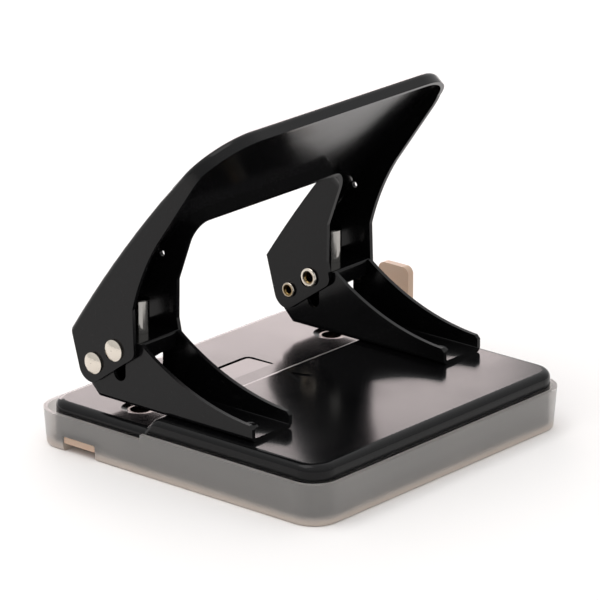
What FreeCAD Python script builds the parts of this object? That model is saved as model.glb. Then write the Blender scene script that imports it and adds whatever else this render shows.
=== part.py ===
import FreeCAD, Part
import math
import os

# Two-hole office punch in pressed steel, standing in a translucent chip tray.
# Millimetres.  +X runs along the line of the holes, +Y points to the side that takes the
# paper, +Z is up.  The origin is the middle of the tray's footprint, on the table.
# Every piece is drawn in the punch frame, whose Y = 0 is the line of the two holes, and
# place() moves it into the object's frame.

V = FreeCAD.Vector

# ---------------------------------------------------------------- paper and overall sizes
hole_spacing = 80.0          # centre to centre of the two holes
hole_margin = 12.0           # hole centre to the paper stop
hole_diameter = 5.6          # punch pin diameter
paper_throat = 3.3           # height of the gap that takes the paper

# ---------------------------------------------------------------- chip tray
side_overhang = 13.5         # hole centre to the tray's side
front_reach = 28.6           # hole line to the tray's front
rear_reach = 74.7            # hole line to the tray's back
tray_height = 12.0           # rim behind the paper stop
tray_front_drop = 1.6        # how much lower the rim is in front of the paper stop
tray_draft = 0.9             # the tray is this much smaller all round at its foot
tray_corner = 8.8
tray_wall = 1.3              # at the rim
tray_foot_wall = 1.0
tray_floor = 1.2
tray_foot_radius = 0.9
tray_clearance = 0.15        # tray wall to the foot of the plate's skirt
front_gap = 2.2              # further space between tray and skirt along the front

# ---------------------------------------------------------------- base plate
plate_sheet = 1.2
plate_top = 16.6             # top of the raised rear part above the table
plate_edge_radius = 2.2
skirt_gap = 2.0              # skirt's long edges above the tray floor
skirt_foot_length = 13.0     # the skirt reaches the tray floor this far round each corner
joggle_run = 3.0             # length of the slope behind the paper stop
joggle_brow_radius = 3.0     # outside of the upper bend
joggle_foot_radius = 0.6     # outside of the lower bend
joggle_facets = 5            # flats that stand for each bend
tongue_width = 20.0
tongue_front = 5.3           # hole line to the tongue's free end
tongue_root = 4.4            # hole line back to the tongue's root
tongue_slot = 0.9
tongue_corner = 2.0
tongue_dip = 1.4             # degrees that the tongue is set down
arrow_tip = 17.6             # hole line back to the point of the centre mark
arrow_length = 7.0
arrow_half_width = 2.9
arrow_stroke = 1.0
arrow_rise = 0.35

# ---------------------------------------------------------------- dies
die_clearance = 0.06         # radial, pin to die
die_wall = 0.65
die_height = 3.4
die_setback = 0.6            # die face below the plate
die_relief = 0.2             # the die's lower bore is this much wider in radius
dimple_radius = 5.2

# ---------------------------------------------------------------- brackets
bracket_sheet = 1.2
bracket_half_width = 8.0
bracket_front = 12.2         # hole line to the bracket's nose
bracket_rear = 47.3          # hole line back to the bracket's heel
bracket_height = 18.5
bracket_heel_height = 4.8
bracket_bend_radius = 1.6
bracket_heel_nip = 1.0       # corner cut off the heel
bracket_sag = (0.36, 0.42)   # hollow curve's middle: share of its run, share of its rise
nose_chamfer = 4.0
nose_slope_drop = 6.0        # the nose starts to slope back this far below the top
bracket_top_front = 6.0      # the level top runs from here ...
bracket_top_rear = 7.8       # ... back to here
guide_sheet = 1.0
guide_clearance = 0.06       # radial, pin to its guide holes
guide_rear = 7.4
guide_front = 5.6
guide_tab = 3.0
guide_lip_gap = 0.4          # lip to the bracket's walls
guide_bend_radius = 0.7
guide_lip = 4.6              # depth of the lip bent down from the guide's rear edge

# ---------------------------------------------------------------- handle
handle_sheet = 1.2
leg_gap_inboard = 0.25       # bracket to the leg wall nearer the middle
leg_gap_outboard = 0.7       # bracket to the leg wall nearer the end
elbow_forward = 8.55         # pivot to the bend at the front of the leg
elbow_up = 8.5
web_angle = 50.1             # lean of the handle from level, degrees
web_length = 81.2            # elbow to top edge, straight across
web_bow = 2.1                # how far the web stands proud of that straight line
top_corner = 16.0
top_flange = 4.0
window_top = 41.2            # elbow to the window's upper edge, along the web
window_corner = 5.2
lip_depth = 4.7
fold_radius = 1.6            # outside of each fold
leg_toe = (5.4, -2.8)        # corners of a leg's wall, as (forward, up) from its pivot
leg_foot_bend = (3.3, -5.3)
leg_foot = (0.3, -5.8)
leg_heel_foot = (-13.0, 3.6)
leg_heel_bend = (-14.3, 5.0)
leg_heel = (-14.5, 6.8)
leg_back = (-14.1, 18.0)     # top of the outer wall's upright back
inner_leg_back = ((-13.6, 11.0), (-13.8, 22.0))   # the same for the wall by the window
flange_waist = (34.0, -6.9)  # back edge of the side flange, as (along, out) from the web
flange_middle = (43.0, -5.2)
flange_end = (-11.0, 0.9)    # the same from the flange's upper end
sight_hole = 1.7
sight_hole_along = 26.2      # elbow to the small hole, along the web
sight_hole_inset = 0.15      # small hole's edge to the inside of the web

# ---------------------------------------------------------------- pivots and punches
pivot_forward = 7.55         # hole line to the handle's pivot
pivot_drop = 5.3             # pivot below the drive rivet
drive_above_plate = 15.7     # drive rivet above the raised plate at rest
stroke = 7.0
rivet_shank = 3.4
rivet_head = 6.0
rivet_head_height = 1.3
rivet_head_edge = 0.5        # straight edge of the head, under its dome
drive_flare = 5.6
drive_bore = 2.4
pivot_flare = 4.4
pivot_bore = 1.9
flare_height = 0.7
rivet_bore_depth = 4.0
bore_lead = 0.9              # the rolled end tapers into its bore over this length
rivet_clearance = 0.06       # radial, in the holes that turn or slide on a rivet
head_gap = 0.1               # rivet head to handle
bracket_slot_slack = 0.5     # each side of the drive rivet in the bracket's slot
handle_slot_slack = 0.35     # each side of the drive rivet in the handle's slot
leg_slot_length = 1.8        # how far the drive rivet slides along the handle's slot
pin_above_rivet = 12.2       # top of the punch pin above the drive rivet
pin_top_chamfer = 0.25
pin_tip_recess = 0.5         # pin tip above the bracket's underside at rest
pin_hollow = 0.6             # depth of the ground notch across the pin tip

# ---------------------------------------------------------------- return springs
spring_wire = 0.55
spring_turns = 5
spring_gap = 0.75            # pin to the inside of the coil
clip_thickness = 0.8
clip_below_rivet = 3.7       # drive rivet centre to the clip's underside
clip_groove = 0.35
clip_rim = 1.6               # clip past the pin's surface
clip_mouth = 0.6             # width of the clip's mouth, as a share of its bore

# ---------------------------------------------------------------- bracket rivets
foot_rivet_shank = 3.0
foot_rivet_head = 5.2
foot_rivet_dome = 0.9
foot_rivet_places = (22.0, 39.5)   # hole line back to each rivet

# ---------------------------------------------------------------- paper guide
guide_bar_rear = 5.4         # hole line to the bar's rear edge
guide_bar_width = 11.2
guide_bar_thickness = 1.8
guide_bar_height = 2.4       # underside above the table
guide_bar_clearance = 0.3    # bar to its channel, at the sides
guide_bar_headroom = 0.2
channel_rib = 1.1
channel_lip = 1.0
channel_lip_thickness = 1.1
guide_pulled_out = 27.2      # tray side to the upright stop's inner face
stop_thickness = 2.3
stop_height = 20.9           # above the table
stop_corner = 2.2
stop_foot_radius = 1.2       # inside the bend between bar and stop
mark_inset = 1.0             # ends of the size marks from the bar's edges
mark_width = 0.6
mark_depth = 0.3
sheet_widths = (148.0, 210.0, 297.0)   # paper sizes that the bar is marked for

# ---------------------------------------------------------------- worked out
punch_line_y = (rear_reach - front_reach) / 2
tray_half_width = hole_spacing / 2 + side_overhang
skirt_inset = tray_draft * (1 - tray_floor / tray_height) + tray_foot_wall + tray_clearance
skirt_half_width = tray_half_width - skirt_inset
skirt_front = front_reach - skirt_inset - front_gap
skirt_rear = rear_reach - skirt_inset
skirt_corner = tray_corner - skirt_inset
front_plate_top = plate_top - paper_throat
pin_radius = hole_diameter / 2
die_bore = pin_radius + die_clearance
die_radius = die_bore + die_wall
die_top = front_plate_top - die_setback
guide_bore = pin_radius + guide_clearance
bracket_top = plate_top + bracket_height
bracket_floor = plate_top + bracket_sheet
drive_height = plate_top + drive_above_plate
pivot_z = drive_height - pivot_drop
pin_top = drive_height + pin_above_rivet
shank_radius = rivet_shank / 2
leg_inboard = bracket_half_width + leg_gap_inboard + handle_sheet
leg_outboard = bracket_half_width + leg_gap_outboard + handle_sheet
handle_half_width = hole_spacing / 2 + leg_outboard
window_half_width = hole_spacing / 2 - leg_inboard
channel_rear = guide_bar_rear - guide_bar_clearance
channel_front = guide_bar_rear + guide_bar_width + guide_bar_clearance
channel_top = guide_bar_height + guide_bar_thickness + guide_bar_headroom
nose_wall_top = bracket_top - nose_slope_drop
FAR = 200.0                  # longer than the object, for cutting tools
cutter_reach = 60.0          # the handle's cutting blocks reach this far behind and below its web
cutter_lead = 25.0           # and this far in front of it
web_overrun = 8.0            # the leg outline runs past the top edge, where it is trimmed
find_margin = 0.2            # slack when edges are looked up on the bowed web


# ---------------------------------------------------------------- shared shapes
def slab(x, y, z):
    """Box between pairs of limits."""
    corner = V(x[0], y[0], z[0])
    return Part.makeBox(x[1] - x[0], y[1] - y[0], z[1] - z[0], corner)


def disc(radius, z, x=0.0, y=0.0):
    """Upright cylinder between two heights."""
    return Part.makeCylinder(radius, z[1] - z[0], V(x, y, z[0]))


def cross_bar(radius, x, y, z):
    """Cylinder along X between two limits."""
    return Part.makeCylinder(radius, x[1] - x[0], V(x[0], y, z), V(1, 0, 0))


def path_edges(to_vector, start, steps):
    """Edges of a closed outline.  A step is an end point, or a (through, end) pair."""
    edges = []
    here = to_vector(start)
    for step in steps:
        if isinstance(step[0], tuple):
            end = to_vector(step[1])
            edges.append(Part.Arc(here, to_vector(step[0]), end).toShape())
        else:
            end = to_vector(step)
            edges.append(Part.LineSegment(here, end).toShape())
        here = end
    edges.append(Part.LineSegment(here, to_vector(start)).toShape())
    return edges


def side_profile(x, start, steps):
    """Solid with a (y, z) outline, from x[0] to x[1]."""
    face = Part.Face(Part.Wire(path_edges(lambda p: V(x[0], p[0], p[1]), start, steps)))
    return face.extrude(V(x[1] - x[0], 0, 0))


def plan_profile(z, start, steps):
    """Solid with an (x, y) outline, from z[0] to z[1]."""
    face = Part.Face(Part.Wire(path_edges(lambda p: V(p[0], p[1], z[0]), start, steps)))
    return face.extrude(V(0, 0, z[1] - z[0]))


def rounded_outline(half, front, rear, radius, z):
    """Closed wire: a rectangle with rounded corners, at height z."""
    bend = radius * (1 - math.sqrt(0.5))
    steps = [
        (half - radius, -rear),
        ((half - bend, -rear + bend), (half, -rear + radius)),
        (half, front - radius),
        ((half - bend, front - bend), (half - radius, front)),
        (-half + radius, front),
        ((-half + bend, front - bend), (-half, front - radius)),
        (-half, -rear + radius),
    ]
    edges = path_edges(lambda p: V(p[0], p[1], z), (-half + radius, -rear), steps)
    closing = Part.Arc(
        V(-half, -rear + radius, z), V(-half + bend, -rear + bend, z), V(-half + radius, -rear, z))
    edges[-1] = closing.toShape()
    return Part.Wire(edges)


def edges_at(shape, z):
    """Edges that lie level at height z."""
    box = [(edge, edge.BoundBox) for edge in shape.Edges]
    return [e for e, b in box if abs(b.ZMin - z) < 1e-4 and abs(b.ZMax - z) < 1e-4]


def place(shape, side=0):
    """From the punch frame to the object's frame; side is -1 left, +1 right, 0 middle."""
    moved = shape.copy()
    moved.translate(V(side * hole_spacing / 2, punch_line_y, 0))
    return moved


# ---------------------------------------------------------------- chip tray
def tray_outline(grow, z):
    spread = grow - tray_draft * (1 - z / tray_height)
    return rounded_outline(tray_half_width + spread, front_reach + spread,
                           rear_reach + spread, tray_corner + spread, z)


def make_chip_tray():
    """Drafted tub with a stepped rim and a channel under its floor for the guide bar."""
    body = Part.makeLoft([tray_outline(0, 0), tray_outline(0, tray_height)], True, True)
    body = body.makeFillet(tray_foot_radius, edges_at(body, 0))
    hollow = Part.makeLoft([tray_outline(-tray_foot_wall, tray_floor),
                            tray_outline(-tray_wall, tray_height + 1)], True, True)
    rib = slab((-FAR, FAR), (channel_rear - channel_rib, channel_front + channel_rib),
               (0, channel_top + tray_floor))
    tub = body.cut(hollow.cut(rib))
    low_rim = slab((-FAR, FAR), (-hole_margin, FAR), (tray_height - tray_front_drop, FAR))
    channel = slab((-FAR, FAR), (channel_rear, channel_front), (-1, channel_top))
    tub = tub.cut(low_rim.fuse(channel))
    lip_top = guide_bar_height - guide_bar_headroom
    lip_half = tray_half_width - tray_corner
    for edge, inward in ((channel_rear, 1), (channel_front, -1)):
        limits = sorted((edge - inward * 0.01, edge + inward * channel_lip))
        lip = slab((-lip_half, lip_half), limits, (lip_top - channel_lip_thickness, lip_top))
        tub = tub.fuse(lip)
    return place(tub.removeSplitter())


# ---------------------------------------------------------------- base plate
def plate_prism(inset, top, bottom):
    """Rounded block under one level of the plate, with its top edge rolled over."""
    outline = rounded_outline(skirt_half_width - inset, skirt_front - inset,
                              skirt_rear - inset, skirt_corner - inset, bottom)
    block = Part.Face(outline).extrude(V(0, 0, top - bottom))
    return block.makeFillet(plate_edge_radius - inset, edges_at(block, top))


def joggle_section(inset, top, bottom, y):
    half = skirt_half_width - inset
    edge = plate_edge_radius - inset
    bend = edge * (1 - math.sqrt(0.5))
    steps = [
        (half, top - edge),
        ((half - bend, top - bend), (half - edge, top)),
        (-half + edge, top),
        ((-half + bend, top - bend), (-half, top - edge)),
        (-half, bottom),
    ]
    return Part.Wire(path_edges(lambda p: V(p[0], y, p[1]), (half, bottom), steps))


def joggle_stations(inset):
    """(y, height) points down the step between the two levels, round its bends."""
    slope = math.atan2(paper_throat, joggle_run)
    bends = range(joggle_facets + 1)
    brow_y = -hole_margin - joggle_run - joggle_brow_radius * math.tan(slope / 2)
    brow_z = plate_top - joggle_brow_radius
    foot_y = -hole_margin + joggle_foot_radius * math.tan(slope / 2)
    foot_z = front_plate_top + joggle_foot_radius
    brow = joggle_brow_radius - inset
    foot = joggle_foot_radius + inset
    turns = [slope * k / joggle_facets for k in bends]
    upper = [(brow_y + brow * math.sin(t), brow_z + brow * math.cos(t)) for t in turns]
    lower = [(foot_y - foot * math.sin(t), foot_z - foot * math.cos(t)) for t in reversed(turns)]
    return upper + lower


def plate_block(inset, bottom):
    """The block that the plate wraps: inset 0 for its outside, one sheet for its inside."""
    stations = joggle_stations(inset)
    brow, high = stations[0]
    foot, low = stations[-1]
    front = plate_prism(inset, low, bottom).common(slab((-FAR, FAR), (foot, FAR), (-FAR, FAR)))
    rear = plate_prism(inset, high, bottom).common(slab((-FAR, FAR), (-FAR, brow), (-FAR, FAR)))
    sections = [joggle_section(inset, top, bottom, y) for y, top in stations]
    return front.fuse(Part.makeLoft(sections, True, True)).fuse(rear)


def skirt_openings():
    """Cuts that lift the skirt's long edges off the tray floor and clear the bar's channel."""
    lift = (tray_floor - 1, tray_floor + skirt_gap)
    along_x = skirt_half_width - skirt_foot_length
    across_x = slab((-along_x, along_x), (-FAR, FAR), lift)
    along_y = slab((-FAR, FAR), (-skirt_rear + skirt_foot_length, skirt_front - skirt_foot_length), lift)
    over_channel = slab((-FAR, FAR),
                        (channel_rear - channel_rib - tray_clearance,
                         channel_front + channel_rib + tray_clearance),
                        (tray_floor - 1, channel_top + tray_floor + tray_clearance))
    return across_x.fuse(along_y).fuse(over_channel)


def tongue_cut():
    """U-shaped slot, open to the rear, that frees the tongue."""
    def frame(half, front, corner):
        bend = corner * (1 - math.sqrt(0.5))
        steps = [
            (half, front - corner),
            ((half - bend, front - bend), (half - corner, front)),
            (-half + corner, front),
            ((-half + bend, front - bend), (-half, front - corner)),
            (-half, -tongue_root),
        ]
        return plan_profile((front_plate_top - 2 * plate_sheet, front_plate_top + 1),
                            (half, -tongue_root), steps)
    outer = frame(tongue_width / 2, tongue_front, tongue_corner)
    inner = frame(tongue_width / 2 - tongue_slot, tongue_front - tongue_slot,
                  tongue_corner - tongue_slot)
    return outer, inner


def centre_arrow():
    """Chevron raised on the rear part with sloping sides, pointing at the paper."""
    def outline(shrink, z):
        tip = -arrow_tip - shrink
        tail = -arrow_tip - arrow_length
        inner = arrow_half_width - arrow_stroke
        points = [
            (0, tip),
            (arrow_half_width - shrink, tail + shrink),
            (inner + shrink, tail + shrink),
            (0, tip - 2 * arrow_stroke + 3 * shrink),
            (-inner - shrink, tail + shrink),
            (-arrow_half_width + shrink, tail + shrink),
        ]
        return Part.makePolygon([V(x, y, z) for x, y in points + points[:1]])
    foot = outline(0, plate_top - plate_sheet / 2)
    return Part.makeLoft([foot, outline(arrow_rise / 2, plate_top + arrow_rise)], True, True)


def make_base_plate():
    """Pressed cover: low front, raised rear, rolled skirt, die seats, tongue and mark."""
    outside = plate_block(0, tray_floor)
    inside = plate_block(plate_sheet, tray_floor - 1)
    shell = outside.cut(inside).cut(skirt_openings())
    underside = front_plate_top - plate_sheet
    for side in (-1, 1):
        x = side * hole_spacing / 2
        seat = Part.makeCone(die_radius + plate_sheet, dimple_radius + plate_sheet, plate_sheet,
                             V(x, 0, underside - plate_sheet))
        dimple = Part.makeCone(die_radius, dimple_radius, die_setback, V(x, 0, die_top))
        bore = disc(die_radius, (0, FAR), x, 0)
        shell = shell.fuse(seat).cut(dimple).cut(bore)
        for back in foot_rivet_places:
            shell = shell.cut(disc(foot_rivet_shank / 2, (0, FAR), x, -back))
    outer, inner = tongue_cut()
    tongue = shell.common(inner)
    tongue.rotate(V(0, -tongue_root, front_plate_top), V(1, 0, 0), -tongue_dip)
    shell = shell.cut(outer).fuse(tongue).fuse(centre_arrow())
    return place(shell.removeSplitter())


def make_die():
    """Hardened bush pressed into the front plate; its lower bore is relieved for the chips."""
    bottom = die_top - die_height
    body = disc(die_radius, (bottom, die_top)).cut(disc(die_bore, (bottom, die_top)))
    return body.cut(disc(die_bore + die_relief, (bottom, bottom + die_height / 2)))


# ---------------------------------------------------------------- brackets
def bracket_side(x):
    """Wall outline: chamfered nose, level top over the punch, hollow curve down to the heel."""
    heel_z = plate_top + bracket_heel_height
    run = bracket_rear - bracket_top_rear
    sag_y = -bracket_top_rear - bracket_sag[0] * run
    sag_z = heel_z + bracket_sag[1] * (bracket_top - heel_z)
    steps = [
        (bracket_front, plate_top + nose_chamfer),
        (bracket_front, bracket_top - nose_slope_drop),
        (bracket_top_front, bracket_top),
        (-bracket_top_rear, bracket_top),
        ((sag_y, sag_z), (-bracket_rear + bracket_heel_nip, heel_z)),
        (-bracket_rear, heel_z - bracket_heel_nip),
        (-bracket_rear, plate_top),
    ]
    return side_profile(x, (bracket_front - nose_chamfer, plate_top), steps)


def drive_slot(x):
    """Upright slot that guides the drive rivet down through its stroke."""
    reach = shank_radius + bracket_slot_slack
    low = drive_height - stroke - rivet_clearance
    high = drive_height + rivet_clearance
    middle = slab(x, (-reach, reach), (low, high))
    return middle.fuse(cross_bar(reach, x, 0, low)).fuse(cross_bar(reach, x, 0, high))


def bracket_hollow(x):
    """Space inside the bracket, open at the back, at the top and above the nose wall."""
    sheet = bracket_sheet
    mitre = sheet * math.tan(math.radians(22.5))
    steps = [
        (bracket_front - sheet, plate_top + nose_chamfer + mitre),
        (bracket_front - sheet, nose_wall_top),
        (FAR, nose_wall_top),
        (FAR, FAR),
        (-FAR, FAR),
        (-FAR, bracket_floor),
    ]
    return side_profile(x, (bracket_front - nose_chamfer - mitre, bracket_floor), steps)


def bend_edges(shape, half, floor):
    """Long edges where the side walls meet the floor, the nose's slope and the nose wall."""
    found = []
    for edge in shape.Edges:
        box = edge.BoundBox
        at_side = box.XLength < 1e-4 and abs(abs(box.XMin) - half) < 1e-4
        along_floor = abs(box.ZMax - floor) < 1e-4
        round_nose = box.YMin > guide_front and box.ZMax < nose_wall_top + 1e-4
        if at_side and (along_floor or round_nose):
            found.append(edge)
    return found


def make_bracket():
    """Trough pressed from sheet: two walls and a low nose wall on a floor that also strips the
    paper off the pin."""
    half = bracket_half_width
    inner = half - bracket_sheet
    body = bracket_side((-half, half))
    body = body.makeFillet(bracket_bend_radius, bend_edges(body, half, plate_top))
    hollow = bracket_hollow((-inner, inner))
    hollow = hollow.makeFillet(bracket_bend_radius - bracket_sheet,
                               bend_edges(hollow, inner, bracket_floor))
    body = body.cut(hollow)
    across = (-half - 1, half + 1)
    body = body.cut(drive_slot(across)).cut(cross_bar(shank_radius, across, pivot_forward, pivot_z))
    body = body.cut(disc(guide_bore, (0, bracket_floor + 1)))
    for back in foot_rivet_places:
        body = body.cut(disc(foot_rivet_shank / 2, (0, bracket_floor + 1), 0, -back))
    tabs = guide_tabs((-half - 1, half + 1))
    return body.cut(tabs)


def guide_tabs(x):
    """The two tabs on each side that lock the top guide into the bracket's walls."""
    z = (bracket_top - guide_sheet, bracket_top)
    front = slab(x, (guide_front - guide_tab, guide_front), z)
    rear = slab(x, (-guide_rear, -guide_rear + guide_tab), z)
    return front.fuse(rear)


def make_top_guide():
    """Small plate across the bracket's top that keeps the punch pin upright."""
    inner = bracket_half_width - bracket_sheet
    z = (bracket_top - guide_sheet, bracket_top)
    plate = slab((-inner, inner), (-guide_rear, guide_front), z)
    plate = plate.fuse(guide_tabs((-bracket_half_width, bracket_half_width)))
    lip = slab((-inner + guide_lip_gap, inner - guide_lip_gap), (-guide_rear, -guide_rear + guide_sheet),
               (z[1] - guide_lip, z[1]))
    plate = plate.fuse(lip).removeSplitter()
    bend = [e for e in edges_at(plate, z[1]) if abs(e.BoundBox.YMin + guide_rear) < 1e-4
            and e.BoundBox.XLength > inner]
    plate = plate.makeFillet(guide_bend_radius, bend)
    return plate.cut(disc(guide_bore, (0, FAR))).removeSplitter()


def make_bracket_rivets():
    """Four rivets, two through each bracket's floor and the plate below it."""
    rivets = []
    for side in (-1, 1):
        for back in foot_rivet_places:
            shank = disc(foot_rivet_shank / 2, (plate_top - plate_sheet, bracket_floor))
            head = dome(foot_rivet_head / 2, foot_rivet_dome, bracket_floor, 1)
            foot = dome(foot_rivet_head / 2, foot_rivet_dome, plate_top - plate_sheet, -1)
            rivet = shank.fuse(head).fuse(foot).removeSplitter()
            rivet.translate(V(0, -back, 0))
            rivets.append(place(rivet, side))
    return Part.makeCompound(rivets)


def dome(radius, height, z, way):
    """Spherical cap on the plane z, rising up (way 1) or down (way -1)."""
    ball = (radius ** 2 + height ** 2) / (2 * height)
    centre = z + way * (height - ball)
    sphere = Part.makeSphere(ball, V(0, 0, centre))
    limits = sorted((z, z + way * height))
    return sphere.common(slab((-radius, radius), (-radius, radius), limits))


# ---------------------------------------------------------------- handle
def web_point(along, out):
    """A (y, z) point given along the web from its elbow and outwards from it."""
    lean = math.radians(web_angle)
    y = pivot_forward + elbow_forward - along * math.cos(lean) + out * math.sin(lean)
    z = pivot_z + elbow_up + along * math.sin(lean) + out * math.cos(lean)
    return (y, z)


def web_bow_at(along):
    """How far the bowed web stands out at a distance along it."""
    share = along / web_length
    return 4 * web_bow * share * (1 - share)


def from_pivot(offset):
    """A (y, z) point given forward of and above the handle's pivot."""
    return (pivot_forward + offset[0], pivot_z + offset[1])


def leg_profile(x, rear_edge):
    """Solid with the outline of a leg's wall, closed at the back by rear_edge."""
    start = web_point(0, 0)
    steps = [
        from_pivot(leg_toe),
        (from_pivot(leg_foot_bend), from_pivot(leg_foot)),
        from_pivot(leg_heel_foot),
        (from_pivot(leg_heel_bend), from_pivot(leg_heel)),
    ]
    top = [
        web_point(web_length + web_overrun, -top_flange),
        web_point(web_length + web_overrun, -web_overrun / 10),
        web_point(web_length, 0),
    ]
    steps = steps + rear_edge() + top
    edges = path_edges(lambda p: V(x[0], p[0], p[1]), start, steps)
    front = Part.Arc(V(x[0], *web_point(web_length, 0)), V(x[0], *web_point(web_length / 2, web_bow)),
                     V(x[0], *start))
    edges[-1] = front.toShape()
    return Part.Face(Part.Wire(edges)).extrude(V(x[1] - x[0], 0, 0))


def outer_rear_edge():
    """Back of the outside walls: upright by the bracket, then closing in on the web."""
    return [
        from_pivot(leg_back),
        (web_point(*flange_waist), web_point(*flange_middle)),
        web_point(web_length + flange_end[0], -top_flange + flange_end[1]),
        web_point(web_length, -top_flange),
    ]


def inner_rear_edge():
    """Back of the walls beside the window, which run into the window's lip."""
    return [
        from_pivot(inner_leg_back[0]),
        from_pivot(inner_leg_back[1]),
        web_point(window_top, web_bow - lip_depth),
        web_point(window_top + 2 * window_corner, web_bow - lip_depth),
        web_point(web_length, -top_flange),
    ]


def web_outline_prism(half, top, corner):
    """Block square to the web, with an arched top: half width, top along the web, corner."""
    bend = corner * (1 - math.sqrt(0.5))

    def to_vector(p):
        y, z = web_point(p[1], -cutter_reach)
        return V(p[0], y, z)
    steps = [
        (half, top - corner),
        ((half - bend, top - bend), (half - corner, top)),
        (-half + corner, top),
        ((-half + bend, top - bend), (-half, top - corner)),
        (-half, -cutter_reach),
    ]
    face = Part.Face(Part.Wire(path_edges(to_vector, (half, -cutter_reach), steps)))
    near = web_point(0, -cutter_reach)
    far = web_point(0, cutter_lead)
    return face.extrude(V(0, far[0] - near[0], far[1] - near[1]))


def inside_of_fold(half):
    """Everything behind the web's inner face, and all of the space below the elbow."""
    sheet = handle_sheet
    corners = [
        web_point(0, -sheet),
        (web_point(web_length / 2, web_bow - sheet), web_point(web_length, -sheet)),
        web_point(web_length + web_overrun, -sheet - web_overrun / 10),
        web_point(web_length + web_overrun, -cutter_reach),
        web_point(-cutter_reach, -cutter_reach),
        web_point(-cutter_reach, cutter_lead),
    ]
    return side_profile((-half, half), web_point(0, cutter_lead), corners)


def fold_edges(shape, grow):
    """Edges of the web's bowed face, where the sheet folds back."""
    found = []
    for edge in shape.Edges:
        ends = [edge.valueAt(edge.FirstParameter), edge.valueAt(edge.LastParameter)]
        mid = edge.valueAt((edge.FirstParameter + edge.LastParameter) / 2)
        at_elbow = all(abs(p.z - web_point(0, grow)[1]) < find_margin for p in ends)
        if not at_elbow and all(on_web(p, grow) for p in ends + [mid]):
            found.append(edge)
    return found


def on_web(point, grow):
    """Is the point on the bowed face, moved out by grow?"""
    lean = math.radians(web_angle)
    base = web_point(0, 0)
    dy, dz = point.y - base[0], point.z - base[1]
    along = -dy * math.cos(lean) + dz * math.sin(lean)
    out = dy * math.sin(lean) + dz * math.cos(lean)
    within = -find_margin < along < web_length + find_margin
    return within and abs(out - grow - web_bow_at(along)) < find_margin


def make_handle():
    """One folded sheet: palm plate, edge flange, two channel legs and the window between."""
    half = handle_half_width
    sheet = handle_sheet
    body = leg_profile((-half, half), outer_rear_edge)
    body = body.common(web_outline_prism(half, web_length, top_corner))
    body = body.makeFillet(fold_radius, fold_edges(body, 0))
    hollow = inside_of_fold(half - sheet)
    hollow = hollow.common(web_outline_prism(half - sheet, web_length - sheet, top_corner - sheet))
    hollow = hollow.makeFillet(fold_radius - sheet, fold_edges(hollow, -sheet))
    body = body.cut(hollow)
    window = web_outline_prism(window_half_width, window_top, window_corner)
    frame = web_outline_prism(window_half_width + sheet, window_top + sheet, window_corner + sheet)
    walls = leg_profile((-half, half), inner_rear_edge).common(frame.cut(window))
    body = body.cut(window).fuse(walls)
    for side in (-1, 1):
        body = body.cut(leg_holes(side))
    return place(body.removeSplitter())


def leg_holes(side):
    """Pivot hole, drive slot and sight hole of one leg."""
    x = side * hole_spacing / 2
    across = (x - leg_outboard - 1, x + leg_outboard + 1)
    pivot = cross_bar(shank_radius + rivet_clearance, across, pivot_forward, pivot_z)
    reach = shank_radius + handle_slot_slack
    rest = math.hypot(pivot_forward, pivot_drop)
    near = rest - leg_slot_length
    direction = (-pivot_forward / rest, pivot_drop / rest)
    ends = [(pivot_forward + r * direction[0], pivot_z + r * direction[1]) for r in (near, rest)]
    slot = slab((across[0], across[1]), (near, rest), (-reach, reach))
    slot.rotate(V(0, 0, 0), V(1, 0, 0), math.degrees(math.atan2(direction[1], direction[0])))
    slot.translate(V(0, pivot_forward, pivot_z))
    for y, z in ends:
        slot = slot.fuse(cross_bar(reach, across, y, z))
    depth = handle_sheet + sight_hole_inset + sight_hole / 2
    y, z = web_point(sight_hole_along, web_bow_at(sight_hole_along) - depth)
    sight = cross_bar(sight_hole / 2, (x, x + leg_outboard + 1), y, z)
    return pivot.fuse(slot).fuse(sight)


# ---------------------------------------------------------------- rivets
def make_rivet(y, z, flare, bore, side):
    """Semi-tubular rivet along X: domed head outboard, rolled hollow end inboard."""
    head_x = -(leg_outboard + head_gap)
    grip = leg_inboard + head_gap
    head = rivet_head / 2
    rise = rivet_head_height - rivet_head_edge
    rim_x = head_x - rivet_head_edge
    ball = (head ** 2 + rise ** 2) / (2 * rise)
    dome_x = rim_x - rise + ball
    dome_half = math.asin(head / ball) / 2
    roll = flare_height / 2
    rim = flare / 2 - roll
    end = grip + flare_height
    steps = [
        ((dome_x - ball * math.cos(dome_half), ball * math.sin(dome_half)), (rim_x, head)),
        (head_x, head),
        (head_x, shank_radius),
        (grip, shank_radius),
        (grip, rim),
        ((grip + roll, rim + roll), (end, rim)),
        ((end - bore_lead / 6, (rim + bore) / 3), (end - bore_lead, bore / 2)),
        (end - rivet_bore_depth, bore / 2),
        (end - rivet_bore_depth, 0),
    ]
    start = (rim_x - rise, 0)
    outline = Part.Wire(path_edges(lambda p: V(p[0], p[1], 0), start, steps))
    rivet = Part.Face(outline).revolve(V(0, 0, 0), V(1, 0, 0), 360)
    if side > 0:
        rivet.rotate(V(0, 0, 0), V(0, 0, 1), 180)
    rivet.translate(V(0, y, z))
    return rivet


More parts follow.
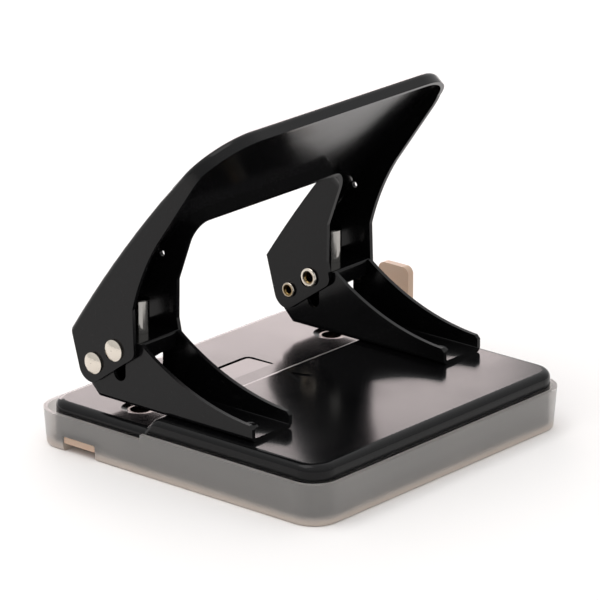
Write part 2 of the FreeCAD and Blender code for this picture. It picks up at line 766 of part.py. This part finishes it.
# ---------------------------------------------------------------- punch
def make_punch_pin():
    """Ground steel pin: notched cutting tip, groove for the clip, cross hole, level top."""
    tip = plate_top + pin_tip_recess
    pin = disc(pin_radius, (tip, pin_top))
    pin = pin.makeChamfer(pin_top_chamfer, edges_at(pin, pin_top))
    pin = pin.cut(cross_bar(shank_radius + rivet_clearance, (-pin_radius - 1, pin_radius + 1),
                            0, drive_height))
    clip = clip_heights()
    ring = disc(pin_radius + 1, clip).cut(disc(pin_radius - clip_groove, clip))
    hollow_radius = (pin_radius ** 2 + pin_hollow ** 2) / (2 * pin_hollow)
    hollow = cross_bar(hollow_radius, (-pin_radius - 1, pin_radius + 1), 0,
                       tip + pin_hollow - hollow_radius)
    return pin.cut(ring).cut(hollow)


def clip_heights():
    bottom = drive_height - clip_below_rivet
    return (bottom, bottom + clip_thickness)


def make_spring_clip():
    """Retaining clip that the spring lifts, open at the front so that it slides onto the pin."""
    z = clip_heights()
    inner = pin_radius - clip_groove
    ring = disc(pin_radius + clip_rim, z).cut(disc(inner, z))
    mouth = slab((-inner * clip_mouth, inner * clip_mouth), (0, FAR), z)
    return ring.cut(mouth)


def make_spring():
    """Return spring around the pin, from the bracket's floor to the clip."""
    top = clip_heights()[0]
    radius = pin_radius + spring_gap + spring_wire / 2
    height = top - bracket_floor - spring_wire
    path = Part.makeHelix(height / spring_turns, height, radius)
    circle = Part.Circle(V(radius, 0, 0), V(0, 1, 0), spring_wire / 2)
    section = Part.Wire([circle.toShape()])
    spring = Part.Wire(path.Edges).makePipeShell([section], True, True)
    spring.translate(V(0, 0, bracket_floor + spring_wire / 2))
    return spring


# ---------------------------------------------------------------- paper guide
def make_paper_guide():
    """Moulded bar that slides in the tray's channel, with an upright stop at its right end."""
    left = -tray_half_width + tray_draft
    stop_x = tray_half_width + guide_pulled_out
    rear = guide_bar_rear
    front = guide_bar_rear + guide_bar_width
    bottom = guide_bar_height
    top = bottom + guide_bar_thickness
    bar = slab((left, stop_x + stop_thickness), (rear, front), (bottom, top))
    bend = stop_corner * (1 - math.sqrt(0.5))
    steps = [
        (front, stop_height - stop_corner),
        ((front - bend, stop_height - bend), (front - stop_corner, stop_height)),
        (rear + stop_corner, stop_height),
        ((rear + bend, stop_height - bend), (rear, stop_height - stop_corner)),
        (rear, bottom),
    ]
    stop = side_profile((stop_x, stop_x + stop_thickness), (front, bottom), steps)
    guide = bar.fuse(stop).removeSplitter()
    heel = [e for e in guide.Edges if e.BoundBox.XLength < 1e-4 and abs(e.BoundBox.XMin - stop_x) < 1e-4
            and abs(e.BoundBox.ZMin - top) < 1e-4 and abs(e.BoundBox.ZMax - top) < 1e-4]
    guide = guide.makeFillet(stop_foot_radius, heel)
    for width in sheet_widths:
        x = tray_half_width - (width / 2 - stop_x)
        mark = slab((x, x + mark_width), (rear + mark_inset, front - mark_inset),
                    (top - mark_depth, top + 1))
        guide = guide.cut(mark)
    return place(guide.removeSplitter())


# ---------------------------------------------------------------- write every piece
def make_all():
    pieces = {
        "chip_tray": make_chip_tray(),
        "base_plate": make_base_plate(),
        "handle": make_handle(),
        "paper_guide": make_paper_guide(),
        "bracket_rivets": make_bracket_rivets(),
    }
    pairs = {
        "die": make_die(),
        "bracket": make_bracket(),
        "top_guide": make_top_guide(),
        "punch_pin": make_punch_pin(),
        "spring_clip": make_spring_clip(),
        "spring": make_spring(),
    }
    for side, side_name in ((-1, "_left"), (1, "_right")):
        for name, shape in pairs.items():
            pieces[name + side_name] = place(shape, side)
        pivot = make_rivet(pivot_forward, pivot_z, pivot_flare, pivot_bore, side)
        drive = make_rivet(0, drive_height, drive_flare, drive_bore, side)
        pieces["pivot_rivet" + side_name] = place(pivot, side)
        pieces["drive_rivet" + side_name] = place(drive, side)
    return pieces


os.makedirs("parts", exist_ok=True)
for node, shape in make_all().items():
    if not shape.isValid() or shape.Volume <= 0:
        raise ValueError("bad solid: " + node)
    shape.exportStep("parts/" + node + ".step")
    print(node, len(shape.Solids), round(shape.Volume, 2))
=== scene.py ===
import math

import bpy
import numpy as np
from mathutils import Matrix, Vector


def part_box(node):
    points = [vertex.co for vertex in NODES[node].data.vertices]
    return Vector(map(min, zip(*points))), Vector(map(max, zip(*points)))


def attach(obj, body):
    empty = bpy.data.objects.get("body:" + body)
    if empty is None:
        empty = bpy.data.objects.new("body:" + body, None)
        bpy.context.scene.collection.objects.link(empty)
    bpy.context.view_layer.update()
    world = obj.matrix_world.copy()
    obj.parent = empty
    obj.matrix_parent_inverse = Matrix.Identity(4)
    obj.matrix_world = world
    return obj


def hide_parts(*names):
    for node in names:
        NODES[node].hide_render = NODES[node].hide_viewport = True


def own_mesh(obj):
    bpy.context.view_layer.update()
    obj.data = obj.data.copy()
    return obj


bl_info = {
    "name": "Desk hole punch",
    "version": (1, 0, 0),
    "blender": (4, 5, 0),
    "location": "3D Viewport > Sidebar > Hole Punch",
    "description": "Dresses the frame of a two-hole desk punch with its finishes, springs and studio",
    "category": "Object",
}

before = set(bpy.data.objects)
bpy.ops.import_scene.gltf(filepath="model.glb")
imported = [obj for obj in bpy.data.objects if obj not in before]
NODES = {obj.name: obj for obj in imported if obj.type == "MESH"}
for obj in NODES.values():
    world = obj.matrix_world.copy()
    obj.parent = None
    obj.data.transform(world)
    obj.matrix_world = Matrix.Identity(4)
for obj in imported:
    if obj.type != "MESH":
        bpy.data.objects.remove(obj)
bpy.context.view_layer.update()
MM = 0.001

LEG_MIDDLE = 40 * MM        # from the middle of the punch to the middle of each leg
ENAMEL_DRIFT = 22.2 * MM    # width of the patches in which the enamel's gloss wanders
TRAY_CLOUD = 16.7 * MM      # width of the patches that make the tray's pale foot ragged
ABS_FLOW = 14.3 * MM        # width of the patches in which the plastic's tone wanders
RIVET_DENT = 0.9 * MM       # width of a hammer dent
PAPER_TOOTH = 1.11 * MM     # coarser than real paper's, which would be too fine to show
END_TURN = 0.9              # share of a turn that lies flat at each end of a spring
SWEEP_HALF = 6.0            # half the width of the white sweep
SENSOR_WIDTH = 36.0         # in millimetres, as Blender's cameras have it
NEAR_CLIP = 0.01

# Sockets of a Mix node that blends colours: two colours go in and the blend comes out.
FIRST_COLOUR, SECOND_COLOUR, BLEND = 6, 7, 2


# ------------------------------------------------------------------------------- colour
def linear(hex_colour):
    """Linear RGB of an sRGB hex value."""
    code = hex_colour.lstrip("#")
    shares = [int(code[i:i + 2], 16) / 255 for i in (0, 2, 4)]
    return tuple(c / 12.92 if c <= 0.04045 else ((c + 0.055) / 1.055) ** 2.4 for c in shares)


def with_alpha(colour):
    return (*tuple(colour)[:3], 1.0)


# ------------------------------------------------------------------------------- sizes and finishes
def colour_property(name, description, hex_colour):
    return bpy.props.FloatVectorProperty(
        name=name, description=description, default=linear(hex_colour),
        size=3, min=0.0, max=1.0, subtype="COLOR")


def length_property(name, description, value):
    return bpy.props.FloatProperty(
        name=name, description=description, default=value, min=0.0,
        precision=5, subtype="DISTANCE", unit="LENGTH")


class PunchSizes(bpy.types.PropertyGroup):
    """Sizes of the springs and of the finishes' patterns.  Real grinding marks, moulded grain and
    dust are 0.02 to 0.1 mm wide, too fine to show, so they are drawn a few times coarser."""

    wire: length_property("Spring wire", "Diameter of the return springs' wire", 0.55 * MM)
    turns: bpy.props.FloatProperty(
        name="Spring turns", description="Working turns of each return spring", default=4.0, min=1.0)
    grit: length_property("Grinding grit", "Width of the marks that grinding leaves on steel", 0.12 * MM)
    peel: length_property("Orange peel", "Width of the ripples in the stoved enamel", 3.2 * MM)
    dust: length_property("Dust", "Width of the specks of dust on the enamel", 0.38 * MM)
    frost: length_property("Frost", "Width of the spark-eroded grain on the tray", 0.45 * MM)
    grain: length_property("Grain", "Width of the moulded grain on the paper guide", 0.4 * MM)


class PunchFinishes(bpy.types.PropertyGroup):
    """Colours of the finishes."""

    enamel: colour_property("Enamel", "Stoved black enamel on pressed steel", "#080809")
    enamel_dust: colour_property("Enamel dust", "Fine dust lying on the enamel", "#2b2a2b")
    tray: colour_property("Chip tray", "Frosted translucent polypropylene", "#dbd8d5")
    # Paler, warmer colour painted on the tray's foot: a painted glow from the bright floor
    tray_foot_glow: colour_property("Tray foot", "The tray where its wall meets the floor", "#d9ccc1")
    guide: colour_property("Paper guide", "Moulded beige ABS", "#bda18b")
    ground_steel: colour_property("Ground steel", "Hardened and ground punch steel", "#a9a7a3")
    die_steel: colour_property("Die steel", "Hardened die, browned by its heat treatment", "#4a403a")
    spring_steel: colour_property("Spring steel", "Oil-blacked spring wire and strip", "#4b4846")
    rivet_head: colour_property("Rivet head", "Bright tinned rivet head", "#d8d0c4")
    rivet_brass: colour_property("Rivet bore", "Brassy tone inside a rolled rivet end", "#7d6740")
    floor: colour_property("Floor", "Matt white paper sweep", "#f7f5f4")
    back_panel: colour_property("Back panel", "Warm cloth on the panel behind the punch", "#ffeeed")


class PunchStage(bpy.types.PropertyGroup):
    """Camera and studio."""

    camera_place: bpy.props.FloatVectorProperty(
        name="Camera", description="Where the camera stands", default=(-0.9095, -0.7811, 0.4506),
        size=3, subtype="XYZ", unit="LENGTH")
    camera_aim: bpy.props.FloatVectorProperty(
        name="Aim", description="The point that the camera looks at", default=(0.01895, 0.01672, 0.0300),
        size=3, subtype="XYZ", unit="LENGTH")
    lens: bpy.props.FloatProperty(
        name="Lens", description="Focal length of the lens", default=279.6, min=1.0, unit="CAMERA")
    key_power: bpy.props.FloatProperty(
        name="Key light", description="Power of the soft light overhead", default=5.0, min=0.0,
        unit="POWER")
    panel_power: bpy.props.FloatProperty(
        name="Back panel", description="Power of the warm panel behind the punch", default=5.3, min=0.0,
        unit="POWER")
    sky_strength: bpy.props.FloatProperty(
        name="Cyclorama", description="Brightness of the white surround", default=1.12, min=0.0)


# ------------------------------------------------------------------------------- material helpers
def add_node(tree, kind, settings=None, links=None):
    """Adds a node; settings are node attributes or input values, links go from sockets to inputs."""
    made = tree.nodes.new(kind)
    for key, value in (settings or {}).items():
        if isinstance(key, str) and hasattr(made, key):
            setattr(made, key, value)
        else:
            made.inputs[key].default_value = value
    for key, socket in (links or {}).items():
        tree.links.new(socket, made.inputs[key])
    return made


def new_material(name):
    material = bpy.data.materials.new(name)
    material.use_nodes = True
    tree = material.node_tree
    tree.nodes.clear()
    return material, tree


def finish_material(tree, shader):
    add_node(tree, "ShaderNodeOutputMaterial", links={"Surface": shader.outputs["BSDF"]})


def stops(ramp_node, values):
    """Sets a colour ramp from (position, colour) pairs."""
    ramp = ramp_node.color_ramp
    while len(ramp.elements) > 1:
        ramp.elements.remove(ramp.elements[-1])
    ramp.elements[0].position = values[0][0]
    ramp.elements[0].color = values[0][1]
    for position, colour in values[1:]:
        ramp.elements.new(position).color = colour
    return ramp_node


def grey(value):
    return (value, value, value, 1.0)


# ------------------------------------------------------------------------------- finishes
def stoved_enamel(finishes, sizes):
    """Black enamel sprayed on pressed steel and stoved: deep, semi-gloss, with a faint orange
    peel, a soft blur that wanders a little over the surface, and a trace of dust."""
    material, tree = new_material("stoved_black_enamel")
    place = add_node(tree, "ShaderNodeTexCoord").outputs["Object"]
    peel = add_node(tree, "ShaderNodeTexNoise",
                    {"Scale": 1 / sizes.peel, "Detail": 2.0, "Roughness": 0.5}, {"Vector": place})
    bump = add_node(tree, "ShaderNodeBump", {"Strength": 0.04, "Distance": 0.02 * MM},
                    {"Height": peel.outputs["Fac"]})
    drift = add_node(tree, "ShaderNodeTexNoise",
                     {"Scale": 1 / ENAMEL_DRIFT, "Detail": 4.0, "Roughness": 0.55}, {"Vector": place})
    blur = add_node(tree, "ShaderNodeMapRange",
                    {"From Min": 0.3, "From Max": 0.7, "To Min": 0.13, "To Max": 0.19},
                    {"Value": drift.outputs["Fac"]})
    speck = add_node(tree, "ShaderNodeTexNoise",
                     {"Scale": 1 / sizes.dust, "Detail": 1.0}, {"Vector": place})
    dust = stops(add_node(tree, "ShaderNodeValToRGB", links={"Fac": speck.outputs["Fac"]}),
                 [(0.70, with_alpha(finishes.enamel)), (0.80, with_alpha(finishes.enamel_dust))])
    shader = add_node(tree, "ShaderNodeBsdfPrincipled", {"IOR": 1.30},
                      {"Base Color": dust.outputs["Color"], "Roughness": blur.outputs["Result"],
                       "Normal": bump.outputs["Normal"]})
    finish_material(tree, shader)
    return material


def frosted_polypropylene(finishes, sizes):
    """Thin moulded polypropylene with a frosted face: it lets light through but blurs what is
    behind it, so dark metal close to it reads as a soft grey.  Low on the wall, near the floor,
    the colour is painted paler and warmer and lets less light through: a painted glow from the bright
    floor."""
    material, tree = new_material("frosted_polypropylene")
    place = add_node(tree, "ShaderNodeTexCoord").outputs["Object"]
    height = add_node(tree, "ShaderNodeSeparateXYZ", links={"Vector": place}).outputs["Z"]
    cloud = add_node(tree, "ShaderNodeTexNoise",
                     {"Scale": 1 / TRAY_CLOUD, "Detail": 3.0}, {"Vector": place})
    # Painted glow: low on the wall the tray is made paler, warmer and less clear, standing in for light
    # from the bright floor
    foot = add_node(tree, "ShaderNodeMapRange",
                    {"interpolation_type": "SMOOTHSTEP", "From Min": 3.4 * MM, "From Max": 0.9 * MM},
                    {"Value": height})
    ragged = add_node(tree, "ShaderNodeMath", {"operation": "MULTIPLY_ADD", 1: 0.25, 2: -0.125},
                      {0: cloud.outputs["Fac"]})
    painted_glow_band = add_node(tree, "ShaderNodeMath", {"operation": "ADD", "use_clamp": True},
                    {0: foot.outputs["Result"], 1: ragged.outputs["Value"]})
    tint = add_node(tree, "ShaderNodeMix",
                    {"data_type": "RGBA", FIRST_COLOUR: with_alpha(finishes.tray),
                     SECOND_COLOUR: with_alpha(finishes.tray_foot_glow)}, {0: painted_glow_band.outputs["Value"]})
    through = add_node(tree, "ShaderNodeMapRange", {"To Min": 0.86, "To Max": 0.45},
                       {"Value": painted_glow_band.outputs["Value"]})
    frost = add_node(tree, "ShaderNodeTexNoise",
                     {"Scale": 1 / sizes.frost, "Detail": 2.0}, {"Vector": place})
    bump = add_node(tree, "ShaderNodeBump", {"Strength": 0.15, "Distance": 0.03 * MM},
                    {"Height": frost.outputs["Fac"]})
    shader = add_node(tree, "ShaderNodeBsdfPrincipled", {"IOR": 1.49, "Roughness": 0.30},
                      {"Base Color": tint.outputs[BLEND], "Normal": bump.outputs["Normal"],
                       "Transmission Weight": through.outputs["Result"]})
    finish_material(tree, shader)
    return material


def moulded_abs(finishes, sizes):
    """Beige ABS moulded in a lightly sparked tool: an even satin with a very fine grain."""
    material, tree = new_material("moulded_beige_abs")
    place = add_node(tree, "ShaderNodeTexCoord").outputs["Object"]
    grain = add_node(tree, "ShaderNodeTexNoise",
                     {"Scale": 1 / sizes.grain, "Detail": 2.0}, {"Vector": place})
    bump = add_node(tree, "ShaderNodeBump", {"Strength": 0.2, "Distance": 0.03 * MM},
                    {"Height": grain.outputs["Fac"]})
    flow = add_node(tree, "ShaderNodeTexNoise",
                    {"Scale": 1 / ABS_FLOW, "Detail": 2.0}, {"Vector": place})
    tone = stops(add_node(tree, "ShaderNodeValToRGB", links={"Fac": flow.outputs["Fac"]}),
                 [(0.3, with_alpha([c * 0.93 for c in finishes.guide])),
                  (0.7, with_alpha(finishes.guide))])
    shader = add_node(tree, "ShaderNodeBsdfPrincipled",
                      {"IOR": 1.54, "Roughness": 0.45, "Subsurface Weight": 0.08,
                       "Subsurface Scale": 0.8 * MM},
                      {"Base Color": tone.outputs["Color"], "Normal": bump.outputs["Normal"]})
    finish_material(tree, shader)
    return material


def ground_steel(name, colour, grit, stretch, roughness):
    """Steel with fine marks that run one way: stretch is the pattern's scale along X, Y and Z,
    small along the marks.  The marks break a highlight into streaks of lighter and duller steel."""
    material, tree = new_material(name)
    place = add_node(tree, "ShaderNodeTexCoord").outputs["Object"]
    along = add_node(tree, "ShaderNodeMapping", {"Scale": stretch}, {"Vector": place})
    marks = add_node(tree, "ShaderNodeTexNoise",
                     {"Scale": 1 / grit, "Detail": 3.0, "Roughness": 0.6},
                     {"Vector": along.outputs["Vector"]})
    tone = stops(add_node(tree, "ShaderNodeValToRGB", links={"Fac": marks.outputs["Fac"]}),
                 [(0.3, with_alpha([c * 0.8 for c in colour])), (0.7, with_alpha(colour))])
    blur = add_node(tree, "ShaderNodeMapRange",
                    {"From Min": 0.3, "From Max": 0.7,
                     "To Min": roughness * 0.8, "To Max": roughness * 1.3},
                    {"Value": marks.outputs["Fac"]})
    bump = add_node(tree, "ShaderNodeBump", {"Strength": 0.12, "Distance": 0.01 * MM},
                    {"Height": marks.outputs["Fac"]})
    shader = add_node(tree, "ShaderNodeBsdfPrincipled", {"Metallic": 1.0},
                      {"Base Color": tone.outputs["Color"], "Roughness": blur.outputs["Result"],
                       "Normal": bump.outputs["Normal"]})
    finish_material(tree, shader)
    return material


def tinned_rivet(finishes, name, centre):
    """Bright tinned rivet, peened smooth on its head with small hammer dents.  The hollow in its
    rolled end, which faces the middle of the punch, shows the browner metal inside."""
    material, tree = new_material(name)
    place = add_node(tree, "ShaderNodeTexCoord").outputs["Object"]
    middle = add_node(tree, "ShaderNodeMapping",
                      {"Location": tuple(-c for c in centre)}, {"Vector": place})
    axes = add_node(tree, "ShaderNodeSeparateXYZ", links={"Vector": middle.outputs["Vector"]})
    inward = add_node(tree, "ShaderNodeMath",
                      {"operation": "MULTIPLY", 1: -math.copysign(1.0, centre[0])}, {0: axes.outputs["X"]})
    rolled = add_node(tree, "ShaderNodeMath", {"operation": "GREATER_THAN", 1: 0.0},
                      {0: inward.outputs["Value"]})
    across = add_node(tree, "ShaderNodeVectorMath", {"operation": "MULTIPLY", 1: (0.0, 1.0, 1.0)},
                      {0: middle.outputs["Vector"]})
    radius = add_node(tree, "ShaderNodeVectorMath", {"operation": "LENGTH"},
                      {0: across.outputs["Vector"]})
    hollow = add_node(tree, "ShaderNodeMapRange", {"From Min": 2.3 * MM, "From Max": 1.5 * MM},
                      {"Value": radius.outputs["Value"]})
    share = add_node(tree, "ShaderNodeMath", {"operation": "MULTIPLY"},
                     {0: rolled.outputs["Value"], 1: hollow.outputs["Result"]})
    tone = add_node(tree, "ShaderNodeMix",
                    {"data_type": "RGBA", FIRST_COLOUR: with_alpha(finishes.rivet_head),
                     SECOND_COLOUR: with_alpha(finishes.rivet_brass)}, {0: share.outputs["Value"]})
    dents = add_node(tree, "ShaderNodeTexNoise",
                     {"Scale": 1 / RIVET_DENT, "Detail": 2.0}, {"Vector": place})
    bump = add_node(tree, "ShaderNodeBump", {"Strength": 0.8, "Distance": 0.08 * MM},
                    {"Height": dents.outputs["Fac"]})
    shader = add_node(tree, "ShaderNodeBsdfPrincipled", {"Metallic": 1.0, "Roughness": 0.2},
                      {"Base Color": tone.outputs[BLEND], "Normal": bump.outputs["Normal"]})
    finish_material(tree, shader)
    return material


def paper_sweep(finishes):
    """Matt white background paper with the faintest tooth."""
    material, tree = new_material("paper_sweep")
    place = add_node(tree, "ShaderNodeTexCoord").outputs["Object"]
    tooth = add_node(tree, "ShaderNodeTexNoise", {"Scale": 1 / PAPER_TOOTH}, {"Vector": place})
    bump = add_node(tree, "ShaderNodeBump", {"Strength": 0.05, "Distance": 0.05 * MM},
                    {"Height": tooth.outputs["Fac"]})
    shader = add_node(tree, "ShaderNodeBsdfPrincipled",
                      {"Base Color": with_alpha(finishes.floor), "Roughness": 0.9},
                      {"Normal": bump.outputs["Normal"]})
    finish_material(tree, shader)
    return material


# ------------------------------------------------------------------------------- mesh helpers
def tube_faces(rings, around):
    """Quads of a tube: each joins two neighbouring points of one ring to those of the next."""
    ring, step = np.meshgrid(np.arange(rings - 1), np.arange(around), indexing="ij")
    here, there, beside = ring * around, (ring + 1) * around, (step + 1) % around
    return np.stack([here + beside, there + beside, there + step, here + step], -1).reshape(-1, 4)


def new_piece(name, points, faces, material, smooth=True):
    """Mesh object at the origin, from an array of points and a list of faces."""
    mesh = bpy.data.meshes.new(name)
    mesh.from_pydata(points.reshape(-1, 3).tolist(), [], faces)
    mesh.polygons.foreach_set("use_smooth", np.full(len(mesh.polygons), smooth))
    mesh.materials.append(material)
    mesh.validate()
    mesh.update()
    piece = bpy.data.objects.new(name, mesh)
    bpy.context.scene.collection.objects.link(piece)
    return piece


def coil(centre, radius, bottom, top, turns, wire, around=16, per_turn=40):
    """Closed-end compression spring.  Its centre line goes round a circle.  Its height rises by
    half a wire over each flat end turn and evenly over the working turns between them.  A small
    circle, in the plane of the spring's axis, is carried along that line and closed at its ends."""
    total = turns + 2 * END_TURN
    count = int(total * per_turn) + 1
    turn = np.linspace(0, total, count)
    rise = np.clip((turn - END_TURN) / turns, 0, 1)
    first_flat = np.clip(turn / END_TURN, 0, 1)
    last_flat = np.clip((turn - total + END_TURN) / END_TURN, 0, 1)
    climb = top - bottom - 2 * wire
    height = bottom + wire / 2 + (first_flat + last_flat) * wire / 2 + rise * climb
    angle = 2 * np.pi * turn
    flat = np.zeros_like(angle)
    out = np.stack([np.cos(angle), np.sin(angle), flat], -1)
    path = np.array(centre) + radius * out + np.stack([flat, flat, height], -1)
    ring = np.linspace(0, 2 * np.pi, around, endpoint=False)
    sideways = np.cos(ring)[None, :, None] * out[:, None]
    upwards = np.sin(ring)[None, :, None] * np.array([0.0, 0.0, 1.0])
    points = path[:, None] + wire / 2 * (sideways + upwards)
    first_end = list(range(around))
    last_end = list(range((count - 1) * around, count * around))[::-1]
    return points, tube_faces(count, around).tolist() + [first_end, last_end]


# ------------------------------------------------------------------------------- operators
MATERIALS = {}


def material_for(key):
    """Each finish is made once and kept."""
    finishes, sizes = bpy.context.scene.punch_finishes, bpy.context.scene.punch_sizes
    makers = {
        "enamel": lambda: stoved_enamel(finishes, sizes),
        "tray": lambda: frosted_polypropylene(finishes, sizes),
        "guide": lambda: moulded_abs(finishes, sizes),
        "pin": lambda: ground_steel("ground_punch_steel", finishes.ground_steel, sizes.grit,
                                    stretch=(0.15, 0.15, 1.0), roughness=0.13),
        "die": lambda: ground_steel("ground_die_steel", finishes.die_steel, sizes.grit,
                                    stretch=(1.0, 1.0, 0.2), roughness=0.25),
        "clip": lambda: ground_steel("spring_strip", finishes.spring_steel, sizes.grit * 2,
                                     stretch=(1.0, 0.2, 1.0), roughness=0.3),
        "wire": lambda: ground_steel("drawn_spring_wire", finishes.spring_steel, sizes.grit,
                                     stretch=(0.4, 0.4, 1.0), roughness=0.25),
    }
    if key not in MATERIALS:
        MATERIALS[key] = makers[key]()
    return MATERIALS[key]


def dress(node, material):
    """Gives a CAD node its finish."""
    slots = NODES[node].data.materials
    slots.clear()
    slots.append(material)


class PUNCH_OT_enamelled_parts(bpy.types.Operator):
    """Finish the handle, base plate, brackets, guide plates and foot rivets in black enamel"""

    bl_idname = "punch.enamelled_parts"
    bl_label = "Enamelled parts"

    def execute(self, context):
        for node in ("handle", "base_plate", "bracket_left", "bracket_right",
                     "top_guide_left", "top_guide_right", "bracket_rivets"):
            dress(node, material_for("enamel"))
        return {"FINISHED"}


class PUNCH_OT_tray_and_guide(bpy.types.Operator):
    """Finish the chip tray in frosted plastic and the paper guide in beige ABS"""

    bl_idname = "punch.tray_and_guide"
    bl_label = "Tray and paper guide"

    def execute(self, context):
        dress("chip_tray", material_for("tray"))
        dress("paper_guide", material_for("guide"))
        return {"FINISHED"}


class PUNCH_OT_bright_parts(bpy.types.Operator):
    """Finish the punch pins, dies, clips and rivets in their bright metals"""

    bl_idname = "punch.bright_parts"
    bl_label = "Pins, dies and rivets"

    def execute(self, context):
        finishes = context.scene.punch_finishes
        for side in ("left", "right"):
            dress("punch_pin_" + side, material_for("pin"))
            dress("die_" + side, material_for("die"))
            dress("spring_clip_" + side, material_for("clip"))
            for kind in ("pivot_rivet_", "drive_rivet_"):
                low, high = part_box(kind + side)
                middle = (low + high) / 2
                centre = (math.copysign(LEG_MIDDLE, middle.x), middle.y, middle.z)
                dress(kind + side, tinned_rivet(finishes, kind + side + "_metal", centre))
        return {"FINISHED"}


class PUNCH_OT_return_springs(bpy.types.Operator):
    """Wind the two return springs, with closed end turns, around the punch pins"""

    bl_idname = "punch.return_springs"
    bl_label = "Return springs"

    def execute(self, context):
        sizes = context.scene.punch_sizes
        for side in ("left", "right"):
            node = "spring_" + side
            low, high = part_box(node)
            middle = (low + high) / 2
            radius = (high.x - low.x) / 2 - sizes.wire / 2
            points, faces = coil((middle.x, middle.y, 0.0), radius, low.z, high.z,
                                 sizes.turns, sizes.wire)
            piece = new_piece("return_spring_" + side, points, faces, material_for("wire"))
            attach(piece, "base")
            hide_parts(node)
            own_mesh(piece)
        return {"FINISHED"}


class PUNCH_OT_studio(bpy.types.Operator):
    """Lay the white sweep, hang the soft lights and stand the camera"""

    bl_idname = "punch.studio"
    bl_label = "Studio"

    def execute(self, context):
        scene = context.scene
        stage, finishes = scene.punch_stage, scene.punch_finishes
        corners = SWEEP_HALF * np.array([(-1, -1, 0), (1, -1, 0), (1, 1, 0), (-1, 1, 0)])
        floor = new_piece("floor", corners, [[0, 1, 2, 3]], paper_sweep(finishes), smooth=False)
        camera_data = bpy.data.cameras.new("camera")
        camera_data.lens = stage.lens
        camera_data.sensor_width = SENSOR_WIDTH
        camera_data.clip_start = NEAR_CLIP
        camera = bpy.data.objects.new("camera", camera_data)
        camera.location = stage.camera_place
        aim = Vector(stage.camera_aim) - Vector(stage.camera_place)
        camera.rotation_euler = aim.to_track_quat("-Z", "Y").to_euler()
        scene.collection.objects.link(camera)
        scene.camera = camera
        scene.view_settings.view_transform = "Standard"
        self.sky(scene, stage.sky_strength)
        self.softbox("key", place=(-0.5, 0.3, 1.3), size=(0.9, 0.9),
                     power=stage.key_power, colour=finishes.floor)
        self.softbox("back_panel", place=(0.93, 1.15, 0.343), size=(0.80, 0.48),
                     power=stage.panel_power, colour=finishes.back_panel)
        return {"FINISHED"}

    def softbox(self, name, place, size, power, colour):
        """Rectangular soft light that faces the punch."""
        light = bpy.data.lights.new(name, "AREA")
        light.shape = "RECTANGLE"
        light.size, light.size_y = size
        light.energy = power
        light.color = colour
        lamp = bpy.data.objects.new(name, light)
        lamp.location = place
        lamp.rotation_euler = (-Vector(place)).to_track_quat("-Z", "Y").to_euler()
        bpy.context.scene.collection.objects.link(lamp)

    def sky(self, scene, strength):
        """White cyclorama all round, dimmer at the horizon than overhead."""
        world = bpy.data.worlds.new("cyclorama")
        world.use_nodes = True
        scene.world = world
        tree = world.node_tree
        tree.nodes.clear()
        place = add_node(tree, "ShaderNodeTexCoord").outputs["Generated"]
        axes = add_node(tree, "ShaderNodeSeparateXYZ", links={"Vector": place})
        glow = stops(add_node(tree, "ShaderNodeValToRGB", links={"Fac": axes.outputs["Z"]}),
                     [(0.0, grey(0.62)), (0.35, grey(0.70)), (0.75, grey(0.95)), (1.0, grey(1.0))])
        sky = add_node(tree, "ShaderNodeBackground", {"Strength": strength},
                       {"Color": glow.outputs["Color"]})
        add_node(tree, "ShaderNodeOutputWorld", links={"Surface": sky.outputs["Background"]})


OPERATORS = (PUNCH_OT_enamelled_parts, PUNCH_OT_tray_and_guide, PUNCH_OT_bright_parts,
             PUNCH_OT_return_springs, PUNCH_OT_studio)


class PUNCH_PT_panel(bpy.types.Panel):
    """Sidebar panel that lists the punch's pieces"""

    bl_idname = "PUNCH_PT_panel"
    bl_label = "Hole punch"
    bl_space_type = "VIEW_3D"
    bl_region_type = "UI"
    bl_category = "Hole Punch"

    def draw(self, context):
        for operator in OPERATORS:
            self.layout.operator(operator.bl_idname)
        for key in GROUPS:
            group = getattr(context.scene, key)
            box = self.layout.box()
            for name in group.__annotations__:
                box.prop(group, name)


GROUPS = {"punch_sizes": PunchSizes, "punch_finishes": PunchFinishes, "punch_stage": PunchStage}
CLASSES = (*GROUPS.values(), *OPERATORS, PUNCH_PT_panel)


def register():
    for cls in CLASSES:
        bpy.utils.register_class(cls)
    for name, group in GROUPS.items():
        setattr(bpy.types.Scene, name, bpy.props.PointerProperty(type=group))


def unregister():
    for name in GROUPS:
        delattr(bpy.types.Scene, name)
    for cls in reversed(CLASSES):
        bpy.utils.unregister_class(cls)


def main():
    register()
    for operator in OPERATORS:
        group, name = operator.bl_idname.split(".")
        getattr(getattr(bpy.ops, group), name)()


if __name__ == "__main__":
    main()
